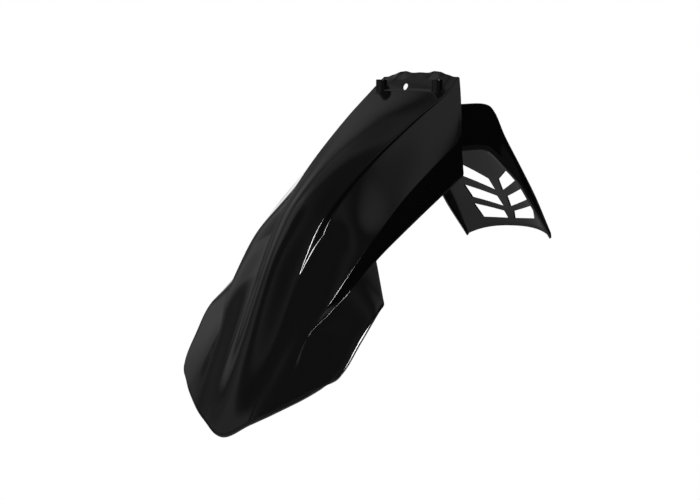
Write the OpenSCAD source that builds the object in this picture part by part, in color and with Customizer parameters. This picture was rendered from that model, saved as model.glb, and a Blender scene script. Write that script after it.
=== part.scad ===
// Front mudguard for an off-road motorcycle: one injection-moulded shell.
// Frame: +Z up along the fork, nose toward -Y, the guard's own left side at +X.
// The origin lies midway between the tops of the two front mounting bosses.

/* [Mounts] */
// Distance between the front bolt holes
front_bolt_spacing = 76; // [60:1:84]
// Distance between the rear bolt holes
rear_bolt_spacing = 40; // [30:1:70]
// Distance from the front bolt row back to the rear bolt row
bolt_row_gap = 50; // [42:1:60]
// Diameter of the bolt holes
bolt_hole_d = 6.6; // [5:0.1:8.6]
// Outer diameter of the bolt bosses
boss_d = 13; // [11:0.5:15]
// Diameter of the collar at the foot of each boss
collar_d = 17; // [15.5:0.5:20]
// Diameter of the small hole beside the centre of the crest
vent_hole_d = 6.4; // [3:0.1:9]

/* [Front shell] */
// Distance from the front bolts forward to the tip of the nose
reach = 354; // [300:2:420]
// Depth of the tip of the nose below the mounting plane
nose_drop = 372; // [320:2:440]
// Distance from the front bolts back to the crest
crest_back = 23; // [15:1:30]
// Height of the crest above the mounting plane, at its middle
crest_rise = 8; // [4:0.5:14]
// Half width of the raised middle band at the crest
band_half = 51; // [47:1:58]
// Half width of the raised middle band at the nose
band_nose_half = 29; // [22:1:36]
// Half width over the shoulders
shoulder_half = 85; // [76:1:92]
// Half width over the skirts at their lower edge
skirt_half = 88; // [84:1:96]
// Half width over the winglets
winglet_half = 113; // [102:1:126]
// Height of the skirt at its rear end
skirt_depth = 41; // [30:1:56]
// Greatest height of the step beside the middle band
step_depth = 8; // [3:0.5:9]
// Greatest width of that step, seen from above
step_width = 5.2; // [3:0.2:8]
// Height that the shoulder bulges above its chord
shoulder_bulge = 3; // [1:0.5:7]
// Height that the lip plate stands proud of the band
plate_raise = 1.6; // [0.5:0.1:2.4]

/* [Deck and tail] */
// Depth of the flat deck below the mounting plane
deck_drop = 28; // [22:1:36]
// Half width of the deck
deck_half = 56; // [52:1:60]
// Height of the flank beside the deck
flank_depth = 54; // [40:1:66]
// Distance from the front bolts back to the tips of the tail
tail_reach = 219; // [190:1:260]
// Depth of the tips of the tail below the mounting plane
tail_drop = 189; // [160:1:230]
// Distance that the middle of the tail bows out behind its sides
tail_bow = 22; // [10:1:30]
// Width of the middle vein between the slots
vein_w = 10; // [6:1:16]
// Width of the slots, measured across them
slot_h = 12.5; // [8:0.5:15]

/* [Wall] */
// Thickness of the moulded wall
wall = 2.6; // [2:0.1:3.4]
// Thickness of the stiffened rim
rim_wall = 4; // [3:0.1:5]
// Width of the rounded rim
rim_w = 3.5; // [2.5:0.5:5]
// Distance that the rim is rounded down
rim_round = 1.2; // [0.4:0.1:1.8]

/* [Hidden] */
$fn = 36;

// Guide lines of the front shell. Each row is [station, x, y, z]; station 0 is the crest,
// station 1 lies just behind the front edge of the lip plate and station 8 is the nose's rim.
function guide(rows) = [for (r = rows) [r[0], [r[1], r[2], r[3]]]];
function ahead(share) = -share * reach;
function below(share) = -share * nose_drop;

ridge_line = guide([
    [0, 0, crest_back, crest_rise],
    [1, 0, 0, below(0.027)],
    [2, 0, ahead(0.19), below(0.113)],
    [3, 0, ahead(0.41), below(0.223)],
    [4, 0, ahead(0.58), below(0.334)],
    [5, 0, ahead(0.67), below(0.423)],
    [6, 0, ahead(0.763), below(0.549)],
    [7, 0, ahead(0.886), below(0.775)],
    [8, 0, ahead(1), below(1)]
]);
band_line = guide([
    [0, band_half, crest_back + 1, crest_rise - 5],
    [1, band_half + 2, 0, below(0.035)],
    [2, mix(band_half, band_nose_half, 0.18), ahead(0.17), below(0.121)],
    [3, mix(band_half, band_nose_half, 0.54), ahead(0.373), below(0.237)],
    [4, mix(band_half, band_nose_half, 0.82), ahead(0.534), below(0.35)],
    [5, band_nose_half, ahead(0.627), below(0.436)],
    [6, band_nose_half - 1, ahead(0.715), below(0.562)],
    [7, band_nose_half - 0.5, ahead(0.839), below(0.764)],
    [8, band_nose_half, ahead(0.976), below(0.963)]
]);
shoulder_line = guide([
    [0, shoulder_half, ahead(0.062), below(0.183)],
    [1, shoulder_half, ahead(0.107), below(0.204)],
    [2, shoulder_half - 1.5, ahead(0.24), below(0.274)],
    [3, shoulder_half - 4, ahead(0.39), below(0.363)],
    [4, shoulder_half - 4.5, ahead(0.514), below(0.452)],
    [5, shoulder_half - 7.5, ahead(0.593), below(0.516)],
    [6, mix(shoulder_half, band_nose_half, 0.27), ahead(0.712), below(0.629)],
    [7, mix(shoulder_half, band_nose_half, 0.465), ahead(0.791), below(0.727)],
    [8, mix(shoulder_half, band_nose_half, 0.61), ahead(0.94), below(0.932)]
]);
// Notch between the skirt and the winglet, the winglet's corner, and a point on its side edge.
notch = [skirt_half - 5.5, ahead(0.5226), below(0.411) - skirt_depth];
winglet_corner = [winglet_half - 1.8, ahead(0.6), below(0.638)];
winglet_edge = [winglet_half - 0.7, ahead(0.639), below(0.661)];
skirt_rim = guide([
    [0, skirt_half, ahead(0.059), below(0.181) - skirt_depth],
    [3, skirt_half - 1.5, ahead(0.338), below(0.313) - skirt_depth],
    concat([5], notch)
]);
winglet_rim = guide([
    concat([5], notch),
    concat([5.5], mix(notch, winglet_corner, 0.86)),
    concat([5.6], winglet_corner),
    concat([5.7], mix(winglet_corner, winglet_edge, 0.3)),
    concat([6], winglet_edge),
    [7, winglet_half - 3, ahead(0.72), below(0.737)],
    [7.7, winglet_half - 8, ahead(0.798), below(0.82)],
    [7.9, winglet_half - 12, ahead(0.817), below(0.84)],
    [8, winglet_half - 17.5, ahead(0.832), below(0.8525)]
]);
// The skirt's foot leaves the line beside the wheel at foot_start, turns inward beside the
// winglet and ends in a point on the shoulder's edge.
foot_start = 4.4;
foot_turn = [mix(skirt_half, band_nose_half, 0.175), ahead(0.655), below(0.61)];
foot_point = [mix(shoulder_half, band_nose_half, 0.463), ahead(0.791), below(0.7278)];
foot_line = guide([
    concat([foot_start], skirt_foot(foot_start)),
    [5, skirt_half - 6.5, ahead(0.527), below(0.41) - skirt_depth],
    concat([6], foot_turn),
    concat([6.5], mix(foot_turn, foot_point, 0.5)),
    concat([7], foot_point),
    [8, mix(winglet_half, band_nose_half, 0.47), ahead(0.891), below(0.895)]
]);
// Share of the step's width and height that each station has. It ends in a point at station 6.
step_share = [
    [0, 0.3, 0.14], [1, 0.32, 0.26], [2, 0.32, 0.33], [3, 0.4, 0.4],
    [4, 0.56, 0.57], [5, 1, 1], [6, 0.1, 0.02], [7, 0.3, 0], [8, 0.4, 0]
];
function step_size(t, column) = lookup(t, [for (row = step_share) [row[0], row[column]]]);

function mix(a, b, f) = a + (b - a) * f;
function unit(v) = v / norm(v);
function ease(f) = let (c = min(1, max(0, f))) c * c * (3 - 2 * c);

// Smooth curve through a table of [knot, point], read at station t. The slope at a knot is that
// of the parabola through it and its two neighbours.
function knot_of(table, t) =
    max([for (k = [0 : len(table) - 2]) if (k == 0 || table[k][0] <= t) k]);
function chord_at(table, k) = (table[k + 1][1] - table[k][1]) / (table[k + 1][0] - table[k][0]);
function slope_at(table, k) =
    k == 0 ? chord_at(table, 0) :
    k == len(table) - 1 ? chord_at(table, k - 1) :
    mix(chord_at(table, k - 1), chord_at(table, k),
        (table[k][0] - table[k - 1][0]) / (table[k + 1][0] - table[k - 1][0]));
function hermite(p, q, dp, dq, f) =
    (2 * f * f * f - 3 * f * f + 1) * p + (f * f * f - 2 * f * f + f) * dp
    + (3 * f * f - 2 * f * f * f) * q + (f * f * f - f * f) * dq;
function along(table, t) =
    let (k = knot_of(table, t), span = table[k + 1][0] - table[k][0])
    hermite(table[k][1], table[k + 1][1], slope_at(table, k) * span,
            slope_at(table, k + 1) * span, (t - table[k][0]) / span);

// Foot of the skirt's upper strip beside the wheel, close above the rim.
function skirt_foot(t) =
    mix(along(shoulder_line, t), along(skirt_rim, t), 0.6 + 0.33 * ease((t - 2) / 3));

// Direction of the band's edge at station t, toward the nose.
function band_way(t) = unit(along(band_line, min(8, t + 0.05)) - along(band_line, max(0, t - 0.05)));

// Corner points of the half section at station t, from the middle out to the rim:
// ridge, edge of the band, foot of the step, edge of the shoulder, foot of the skirt, rim.
function corners(t) =
    let (
        r = along(ridge_line, t),
        a = along(band_line, t),
        b = along(shoulder_line, t),
        w = t < 5 ? along(skirt_rim, t) : along(winglet_rim, t),
        c = t < foot_start ? skirt_foot(t) : along(foot_line, t),
        down = unit(cross([1, 0, 0], band_way(t))),
        out = unit(mix([1, 0, 0], unit(b - a), ease((t - 5.3) / 0.7))),
        f = a + out * step_width * step_size(t, 1) + down * step_depth * step_size(t, 2)
    )
    [r, a, f, b, c, w];

// Sharpness of the edges of the band, the step, the shoulder and the skirt at station t:
// 1 where creased, 0 where smooth. Step and skirt keep theirs until they end in a point.
function sharpness(t) =
    let (
        band = 1 - ease((t - 4.2) / 1.8),
        step = t < 6 ? 1 : 0,
        shoulder = 1 - ease((t - 5.2) / 1.8),
        skirt = t < 7 ? 1 : 0
    )
    [[0, band], [step, step], [band, shoulder], [skirt, skirt], [shoulder, 1]];

// Direction that two chords share where they meet without a crease.
function between(before, after) = unit(unit(before) + unit(after));

// One strip of the section, from p to q. Its end directions turn from a plain bulge, where the
// edge is creased, to the directions in shared. way runs along the shell, toward the nose.
function strip(p, q, shared, sharp, way, bulge, shares) =
    let (
        chord = q - p,
        lift = unit(cross(way, chord)) * 4 * bulge,
        dp = mix(shared[0] * norm(chord), chord + lift, sharp[0]),
        dq = mix(shared[1] * norm(chord), chord - lift, sharp[1])
    )
    [for (s = shares) hermite(p, q, dp, dq, s)];
function even(n) = [for (k = [1 : n]) k / n];
function with_rim(n, size) =
    let (last = 1 - min(rim_w / size, 0.5))
    concat([for (k = [1 : n]) last * k / n], [1]);
// Chord of the strip on the other side of the middle, for a ridge without a crease.
function mirrored_chord(r, a) = [a[0], r[1] - a[1], r[2] - a[2]];

// Shares of the points across the band, steps across the shoulder, and the share of the
// shoulder's bulge by station.
band_shares = [0.22, 0.38, 0.54, 0.7, 0.86, 1];
shoulder_steps = 5;
bulge_share = [[0, 0.7], [2, 0.3], [3.2, -0.3], [4.3, 1.3], [5.3, 0.9], [8, 1]];
function front_half(t) =
    let (
        c = corners(t),
        chord = [for (k = [0 : 4]) c[k + 1] - c[k]],
        shared = [
            between(mirrored_chord(c[0], c[1]), chord[0]),
            between(chord[0], c[3] - c[1]),
            between(c[2] - c[0], chord[2]),
            between(chord[2], c[5] - c[3]),
            between(c[4] - c[2], chord[4]),
            unit(chord[4])
        ],
        sharp = sharpness(t),
        bulge = [1, 0, shoulder_bulge * along(bulge_share, t), 0, 0],
        shares = [band_shares, even(2), even(shoulder_steps), even(3), with_rim(3, norm(chord[4]))]
    )
    concat([c[0]], [for (k = [0 : 4]) each
        strip(c[k], c[k + 1], [shared[k], shared[k + 1]], sharp[k], band_way(t), bulge[k], shares[k])
    ]);

// The lip plate stands proud of the band behind its front edge, at plate_end. Its crest has a low
// hump at each side and a dip outside the hump: [share of the half width, lift].
crest_lift = [[0, -1.4], [0.24, -1.3], [0.38, 0.9], [0.54, 0.9], [0.7, -1], [0.88, -0.8], [1, 0]];
plate_end = 1.06;
function lip_lift(t, x) =
    plate_raise * (1 - ease((t - plate_end) / 0.05)) * (1 - ease((abs(x) - band_half + 13) / 8))
    + (1 - ease(t / 0.8)) * along(crest_lift, min(1, abs(x) / band_half));

function mirror_x(p) = [-p[0], p[1], p[2]];
function full_row(half) =
    concat([for (k = [len(half) - 1 : -1 : 1]) mirror_x(half[k])], half);

front_stations = concat(
    [0, 0.2, 0.4, 0.7, plate_end, plate_end + 0.05],
    [for (k = [1 : 3]) 1 + k / 4],
    [for (k = [0 : 11]) 2 + k / 4],
    [for (k = [0 : 10]) 5 + k / 5],
    [7.25, 7.5, 7.75, 7.96, 8]
);
front_grid = [for (t = front_stations)
    [for (p = full_row(front_half(t))) p + [0, 0, lip_lift(t, p[0])]]];

// Outward direction at point j of row i. Rows run toward the nose, points toward +X.
function outward(g, i, j) =
    let (
        a = g[max(0, i - 1)][j], b = g[min(len(g) - 1, i + 1)][j],
        c = g[i][max(0, j - 1)], d = g[i][min(len(g[0]) - 1, j + 1)]
    )
    unit(cross(b - a, d - c));

// Closed shell under the grid g. The sides named in rims ([first row, last row, columns])
// have the thicker, rounded rim, and the others the plain wall.
function is_rim(g, i, j, rims) =
    (rims[0] && i == 0) || (rims[1] && i == len(g) - 1)
    || (rims[2] && (j == 0 || j == len(g[0]) - 1));
module shell(g, rims) {
    rows = len(g);
    cols = len(g[0]);
    away = [for (i = [0 : rows - 1]) [for (j = [0 : cols - 1]) outward(g, i, j)]];
    top = [for (i = [0 : rows - 1]) for (j = [0 : cols - 1])
        g[i][j] - away[i][j] * (is_rim(g, i, j, rims) ? rim_round : 0)];
    bottom = [for (i = [0 : rows - 1]) for (j = [0 : cols - 1])
        g[i][j] - away[i][j] * (is_rim(g, i, j, rims) ? rim_wall : wall)];
    n = rows * cols;
    faces = [
        for (i = [0 : rows - 2]) for (j = [0 : cols - 2])
            let (a = i * cols + j, b = a + 1, c = a + cols, d = c + 1)
            each [[a, b, c], [b, d, c], [n + a, n + c, n + b], [n + b, n + c, n + d]],
        for (j = [0 : cols - 2])
            let (a = j, b = j + 1, c = (rows - 1) * cols + j, d = c + 1)
            each [[a, n + a, b], [b, n + a, n + b], [c, d, n + c], [d, n + d, n + c]],
        for (i = [0 : rows - 2])
            let (a = i * cols, b = a + cols, c = a + cols - 1, d = c + cols)
            each [[a, b, n + a], [b, n + b, n + a], [c, n + c, d], [d, n + c, n + d]]
    ];
    polyhedron(points = concat(top, bottom), faces = faces, convexity = 6);
}

// Guide lines of the deck and tail. Station 0 is the front of the deck, station 6 the bottom edge.
deck_front = crest_back + 2;
mouth_half = band_half + 1;
function behind(share) = share * tail_reach;
function under(share) = -share * tail_drop;
middle_line = guide([
    [0, 0, deck_front, -deck_drop],
    [1, 0, behind(0.333) + tail_bow, -deck_drop],
    [2, 0, behind(0.457) + tail_bow, mix(-deck_drop, under(1), 0.087)],
    [3, 0, behind(0.584) + tail_bow, mix(-deck_drop, under(1), 0.298)],
    [4, 0, behind(0.743) + tail_bow, mix(-deck_drop, under(1), 0.568)],
    [5, 0, behind(0.883) + tail_bow, mix(-deck_drop, under(1), 0.775)],
    [6, 0, behind(0.95) + tail_bow, mix(-deck_drop, under(1), 0.912)]
]);
fold_line = guide([
    [0, mouth_half, deck_front, -deck_drop],
    [1, deck_half + 1, behind(0.329), -deck_drop],
    [2, deck_half + 1.5, behind(0.427), mix(-deck_drop, under(1), 0.062)],
    [3, deck_half + 2, behind(0.525), mix(-deck_drop, under(1), 0.236)],
    [4, deck_half + 3, behind(0.685), mix(-deck_drop, under(1), 0.472)],
    [5, deck_half + 3, behind(0.842), mix(-deck_drop, under(1), 0.702)],
    [6, deck_half + 3, behind(1), mix(-deck_drop, under(1), 0.978)]
]);
flank_rim = guide([
    [0, mouth_half + 0.5, deck_front, -deck_drop - flank_depth],
    [1, deck_half + 1, behind(0.311), -deck_drop - flank_depth + 1],
    [2, deck_half + 1, behind(0.411), -deck_drop - flank_depth - 5],
    [3, deck_half + 1.5, behind(0.539), mix(-deck_drop, under(1), 0.472)],
    [4, deck_half + 4.5, behind(0.667), mix(-deck_drop, under(1), 0.596)],
    [5, deck_half + 6, behind(0.799), mix(-deck_drop, under(1), 0.77)],
    [6, deck_half + 5.5, behind(0.99), under(1)]
]);

function tail_half(t) =
    let (
        m = along(middle_line, t),
        f = along(fold_line, t),
        r = along(flank_rim, t),
        way = unit(along(middle_line, max(0, t - 0.1)) - along(middle_line, min(6, t + 0.1))),
        bow = tail_bow / 4 * ease((t - 1) / 2),
        turn = between(f - m, r - f),
        sharp = 1 - 0.5 * ease((t - 2) / 2)
    )
    concat(
        [m],
        strip(m, f, [between(mirrored_chord(m, f), f - m), turn], [0, sharp], way, bow, even(8)),
        strip(f, r, [turn, unit(r - f)], [sharp, 1], way, 0, with_rim(3, max(8, norm(r - f))))
    );
tail_stations = concat(
    [6, 5.92],
    [for (k = [0 : 8]) 5.5 - k / 2 * 0.5],
    [3, 2.75, 2.5, 2.25, 2, 1.75, 1.5, 1.25, 1, 0.5, 0]
);
tail_grid = [for (t = tail_stations) full_row(tail_half(t))];

// Wall between the shoulder's rear edge and the flank, clear of the fork leg. It is flat and
// upright, in the plane of that edge, and its top follows the edge a little below the surface.
wall_run_on = 1;
wall_sink = 1;
module fork_wall() {
    edge = front_half(0);
    first = len(band_shares) + 2;
    last = len(edge) - 1;
    foot = [edge[first][0], edge[first][1]];
    hip = edge[first + shoulder_steps];
    run = unit([hip[0], hip[1]] - foot);
    top = [for (k = [first : last])
        [([edge[k][0], edge[k][1]] - foot) * run, edge[k][2] + (k < last ? -wall_sink : wall_sink)]];
    low = -deck_drop - flank_depth + wall_sink;
    translate([foot[0], foot[1], 0])
        rotate([90, 0, atan2(run[1], run[0])])
            linear_extrude(wall)
                polygon(concat(
                    [[-wall_run_on, top[0][1]]], top, [[wall_run_on, low], [-wall_run_on, low]]
                ));
}

// One mounting boss: a tube whose flat top lies in the mounting plane, with a collar at its foot.
module boss(foot, collar) {
    translate([0, 0, foot])
        cylinder(d = boss_d, h = -foot);
    translate([0, 0, foot])
        cylinder(d = collar_d, h = collar);
}
front_boss_foot = -22;
front_collar_h = 7;
rear_collar_h = 6;
bore_below = 100;
bore_above = 20;
// Place, turn and length of the bore of the small hole beside the centre of the crest.
vent_place = [-6.8, 3, -8.2];
vent_turn = [94, 0, 22];
vent_bore = 24;
module at_bolts(front) {
    spacing = front ? front_bolt_spacing : rear_bolt_spacing;
    for (side = [-1, 1])
        translate([side * spacing / 2, front ? 0 : bolt_row_gap, 0])
            children();
}

// Slots of the tail, cut straight through to the rear. Each row is: height of the inner top
// corner as a share of the tail's drop, rise of the top edge and of the bottom edge per unit
// of width, outer half width at the top and at the bottom, height as a share of slot_h.
slot_back = behind(1) + 100;
slot_front = deck_front + 60;
slot_rows = [
    [0.629, 0.65, 0.49, 43.5, 42, 1.16],
    [0.742, 0.38, 0.31, 42.5, 40, 1.03],
    [0.84, 0.25, 0.02, 41.5, 36.5, 0.69]
];
module slot(row) {
    top = under(row[0]);
    bottom = top - slot_h * row[5];
    inner_top = vein_w / 2 + 1.5;
    inner_bottom = vein_w / 2 - 0.5;
    translate([0, slot_back, 0])
        rotate([90, 0, 0])
            linear_extrude(slot_back - slot_front)
                polygon([
                    [inner_top, top],
                    [row[3], top + (row[3] - inner_top) * row[1]],
                    [row[4], bottom + (row[4] - inner_bottom) * row[2]],
                    [inner_bottom, bottom]
                ]);
}

module mudguard() {
    color("#111214")
        difference() {
            union() {
                shell(front_grid, [false, true, true]);
                shell(tail_grid, [true, false, true]);
                for (side = [0, 1])
                    mirror([side, 0, 0])
                        fork_wall();
                at_bolts(true)
                    boss(front_boss_foot, front_collar_h);
                at_bolts(false)
                    boss(-deck_drop - wall / 2, rear_collar_h);
            }
            for (front = [true, false])
                at_bolts(front)
                    translate([0, 0, -bore_below])
                        cylinder(d = bolt_hole_d, h = bore_below + bore_above);
            translate(vent_place)
                rotate(vent_turn)
                    cylinder(d = vent_hole_d, h = vent_bore, center = true);
            for (side = [0, 1])
                mirror([side, 0, 0])
                    for (row = slot_rows)
                        slot(row);
        }
}

mudguard();
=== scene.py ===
"""Looks of an off-road motorcycle's front mudguard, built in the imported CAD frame.

The classes hold their sizes in millimetres, as the CAD source does. Meshes are turned into
metres when they are made. The shell is the CAD node's own surface, sampled more finely, with
its creases and rims rounded as a mould leaves them.
"""

import logging
import math
from dataclasses import dataclass, field
from enum import Enum

import bpy
import numpy as np
from mathutils import Matrix, Vector


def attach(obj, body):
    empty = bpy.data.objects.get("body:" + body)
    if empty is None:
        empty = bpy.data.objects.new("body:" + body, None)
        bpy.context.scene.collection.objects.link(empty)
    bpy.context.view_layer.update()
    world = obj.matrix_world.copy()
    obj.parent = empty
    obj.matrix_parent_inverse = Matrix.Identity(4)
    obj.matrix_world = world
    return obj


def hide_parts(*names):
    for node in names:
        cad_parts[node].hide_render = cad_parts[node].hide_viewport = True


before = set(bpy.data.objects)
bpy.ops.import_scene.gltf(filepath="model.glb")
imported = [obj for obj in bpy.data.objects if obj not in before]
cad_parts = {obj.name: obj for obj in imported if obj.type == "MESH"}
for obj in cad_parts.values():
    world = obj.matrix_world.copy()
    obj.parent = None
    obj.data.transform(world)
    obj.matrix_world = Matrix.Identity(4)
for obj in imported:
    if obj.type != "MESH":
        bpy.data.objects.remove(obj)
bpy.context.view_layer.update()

LOG = logging.getLogger("mudguard")
MM = 0.001
Array = np.ndarray
Pair = tuple[Array, Array]
Span = tuple[float, float]
Point = tuple[float, float, float]
Row = tuple[float, ...]
Tree = bpy.types.NodeTree
Socket = bpy.types.NodeSocket


def mix(a: Array | float, b: Array | float, f: Array | float) -> Array | float:
    """The value a share f of the way from a to b."""
    return a + (b - a) * f


def unit(v: Array) -> Array:
    """Vectors v scaled to length 1."""
    return v / np.maximum(np.linalg.norm(v, axis=-1, keepdims=True), 1e-12)


def ease(f: Array | float) -> Array:
    """Smooth ramp 3f^2 - 2f^3 from 0 to 1, flat at both ends."""
    c = np.clip(f, 0.0, 1.0)
    return c * c * (3 - 2 * c)


def hermite(p: Array, q: Array, dp: Array, dq: Array, f: Array) -> Array:
    """Cubic from p to q that leaves along dp and arrives along dq, at shares f."""
    return (
        (2 * f**3 - 3 * f**2 + 1) * p
        + (f**3 - 2 * f**2 + f) * dp
        + (3 * f**2 - 2 * f**3) * q
        + (f**3 - f**2) * dq
    )


@dataclass(frozen=True)
class Guide:
    """A smooth curve through rows of (station, value, ...)."""

    rows: tuple[Row, ...]

    def at(self, t: Array) -> Array:
        """Reads the curve, a cubic between knots.

        The slope at a knot is that of the parabola through it and its two neighbours. At the
        ends it is that of the chord.

        Args:
            t: stations, one per row of the result.

        Returns:
            Array of shape (len(t), values per knot).
        """
        table = np.array(self.rows, float)
        knots, points = table[:, 0], table[:, 1:]
        gap = np.diff(knots)[:, None]
        chord = np.diff(points, axis=0) / gap
        inner = (chord[:-1] * gap[1:] + chord[1:] * gap[:-1]) / (gap[1:] + gap[:-1])
        slopes = np.vstack([chord[:1], inner, chord[-1:]])
        k = np.clip(np.searchsorted(knots, t, side="right") - 1, 0, len(knots) - 2)
        span = (knots[k + 1] - knots[k])[:, None]
        f = (t - knots[k])[:, None] / span
        return hermite(points[k], points[k + 1], slopes[k] * span, slopes[k + 1] * span, f)


def guide(*rows: Row) -> Guide:
    """The guide through rows of (station, value, ...)."""
    return Guide(rows)


@dataclass(frozen=True)
class Sizes:
    """Sizes of the mudguard in millimetres, as in the CAD source.

    Only the rim's wall is a hundredth thinner, so that its finer curve stays inside the
    solid's box.
    """

    front_bolt_spacing: float = 76
    rear_bolt_spacing: float = 40
    bolt_row_gap: float = 50
    bolt_hole_d: float = 6.6
    boss_d: float = 13
    collar_d: float = 17
    vent_hole_d: float = 6.4
    reach: float = 354
    nose_drop: float = 372
    crest_back: float = 23
    crest_rise: float = 8
    band_half: float = 51
    band_nose_half: float = 29
    shoulder_half: float = 85
    skirt_half: float = 88
    winglet_half: float = 113
    skirt_depth: float = 41
    step_depth: float = 8
    step_width: float = 5.2
    shoulder_bulge: float = 3
    plate_raise: float = 1.6
    deck_drop: float = 28
    deck_half: float = 56
    flank_depth: float = 54
    tail_reach: float = 219
    tail_drop: float = 189
    tail_bow: float = 22
    vein_w: float = 10
    slot_h: float = 12.5
    wall: float = 2.6
    rim_wall: float = 3.99
    rim_w: float = 3.5
    rim_round: float = 1.2
    front_boss_foot: float = -22
    front_collar_h: float = 7
    rear_collar_h: float = 6

    @property
    def deck_front(self) -> float:
        """Y of the front edge of the deck."""
        return self.crest_back + 2

    @property
    def mouth_half(self) -> float:
        """Half width of the deck at its front edge."""
        return self.band_half + 1


@dataclass
class Mesh:
    """Points in millimetres with faces of any size."""

    points: Array
    faces: list[list[int]]

    def mirrored(self) -> "Mesh":
        """The same mesh on the other side of X = 0, still facing outward."""
        return Mesh(self.points * [-1, 1, 1], [face[::-1] for face in self.faces])

    def to_object(self, name: str) -> bpy.types.Object:
        """Makes a linked Blender object in metres.

        Args:
            name: name of the object and its mesh.

        Returns:
            The object, at the origin.
        """
        data = bpy.data.meshes.new(name)
        data.from_pydata((self.points * MM).tolist(), [], self.faces)
        data.validate()
        obj = bpy.data.objects.new(name, data)
        bpy.context.scene.collection.objects.link(obj)
        return obj


def grid_faces(rows: int, cols: int, start: int, flip: bool) -> Array:
    """Quads of a grid of points numbered row by row.

    Args:
        rows: points along the grid.
        cols: points across it.
        start: number of its first point.
        flip: True for the side that faces the other way.

    Returns:
        Array of shape (quads, 4).
    """
    first = (np.arange(rows - 1)[:, None] * cols + np.arange(cols - 1)[None, :]).ravel() + start
    quads = np.stack([first, first + cols, first + cols + 1, first + 1], axis=1)
    return quads[:, ::-1] if flip else quads


def closed_shell(outer: Array, inner: Array) -> Mesh:
    """Joins two grids of the same size into a closed shell.

    Args:
        outer: outer points, (rows, columns, 3), rows toward the nose, columns toward +X.
        inner: inner points in the same order.

    Returns:
        The shell with its four edges closed by quads.
    """
    rows, cols = outer.shape[:2]
    n = rows * cols
    number = np.arange(n).reshape(rows, cols)
    faces = [grid_faces(rows, cols, 0, False), grid_faces(rows, cols, n, True)]
    for border in (number[::-1, 0], number[:, -1], number[0, :], number[-1, ::-1]):
        a, b = border[:-1], border[1:]
        faces.append(np.stack([a, b, b + n, a + n], axis=1))
    points = np.vstack([outer.reshape(-1, 3), inner.reshape(-1, 3)])
    return Mesh(points, np.vstack(faces).tolist())


def prism(outline: Array, low: float, high: float) -> Mesh:
    """A flat outline pushed along its own third axis.

    Args:
        outline: corners (n, 2), counter-clockwise seen from above.
        low: height of the bottom face.
        high: height of the top face.

    Returns:
        The closed prism.
    """
    n = len(outline)
    points = np.vstack([np.c_[outline, np.full(n, low)], np.c_[outline, np.full(n, high)]])
    sides = [[i, (i + 1) % n, n + (i + 1) % n, n + i] for i in range(n)]
    return Mesh(points, [list(range(n))[::-1], list(range(n, 2 * n)), *sides])


def turned(profile: Array, segments: int = 72) -> Mesh:
    """A closed profile of (radius, height) turned round the Z axis.

    Args:
        profile: points from the axis at the bottom, round the outside, to the axis at the top.
        segments: steps round the axis.

    Returns:
        The closed body, with one point at each end of the axis.
    """
    ring, n, k = profile[1:-1], len(profile) - 2, np.arange(segments)
    angle = k * 2 * math.pi / segments
    x, y = (share(angle)[:, None] * ring[:, 0] for share in (np.cos, np.sin))
    z = np.broadcast_to(ring[:, 1], (segments, n))
    points = np.stack([x, y, z], axis=-1).reshape(-1, 3)
    here, after = k * n, (k + 1) % segments * n
    quads = [np.stack([here + j, after + j, after + j + 1, here + j + 1], 1) for j in range(n - 1)]
    foot, top = len(points), len(points) + 1
    faces = np.vstack(quads).tolist()
    steps = list(zip(here.tolist(), after.tolist(), strict=True))
    faces += [[foot, b, a] for a, b in steps]
    faces += [[top, a + n - 1, b + n - 1] for a, b in steps]
    ends = np.array([[0, 0, profile[0][1]], [0, 0, profile[-1][1]]])
    return Mesh(np.vstack([points, ends]), faces)


def placed(mesh: Mesh, matrix: Matrix) -> Mesh:
    """A mesh moved by a 4x4 matrix in millimetres."""
    turn = np.array(matrix, float)
    return Mesh(mesh.points @ turn[:3, :3].T + turn[:3, 3], mesh.faces)


def on_both_sides(mesh: Mesh, x: float, y: float) -> list[Mesh]:
    """Two copies of a mesh, moved to (-x, y) and (x, y)."""
    return [placed(mesh, Matrix.Translation((side * x, y, 0))) for side in (-1, 1)]


def joined(*parts: Mesh) -> Mesh:
    """Several meshes in one, without merging points."""
    faces, shift = [], 0
    for part in parts:
        faces += [[i + shift for i in face] for face in part.faces]
        shift += len(part.points)
    return Mesh(np.vstack([part.points for part in parts]), faces)


@dataclass
class Strip:
    """One strip of a section over all rows.

    Attributes:
        p: start corner of each row.
        q: end corner of each row.
        dp: direction out of p.
        dq: direction into q.
        shares: positions across the strip, (rows, columns), from 0 to 1.
    """

    p: Array
    q: Array
    dp: Array
    dq: Array
    shares: Array

    def points(self) -> Array:
        """Points of the strip, (rows, columns, 3)."""
        ends = (self.p, self.q, self.dp, self.dq)
        return hermite(*(v[:, None] for v in ends), self.shares[..., None])


def between(before: Array, after: Array) -> Array:
    """Direction that two chords share where they meet without a crease."""
    return unit(unit(before) + unit(after))


def make_strip(ends: Pair, shared: Pair, crease: Pair, lift: Array, shares: Array) -> Strip:
    """A strip whose end directions turn from a plain bulge to the ones shared with its neighbours.

    Args:
        ends: start and end corner of each row.
        shared: directions shared at the start and at the end.
        crease: sharpness of the start and the end, 1 where creased and 0 where smooth.
        lift: four times the bulge above the chord, as vectors.
        shares: positions across the strip.

    Returns:
        The strip.
    """
    chord = ends[1] - ends[0]
    size = np.linalg.norm(chord, axis=1, keepdims=True)
    dp = mix(shared[0] * size, chord + lift, crease[0][:, None])
    dq = mix(shared[1] * size, chord - lift, crease[1][:, None])
    return Strip(*ends, dp, dq, shares)


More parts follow.
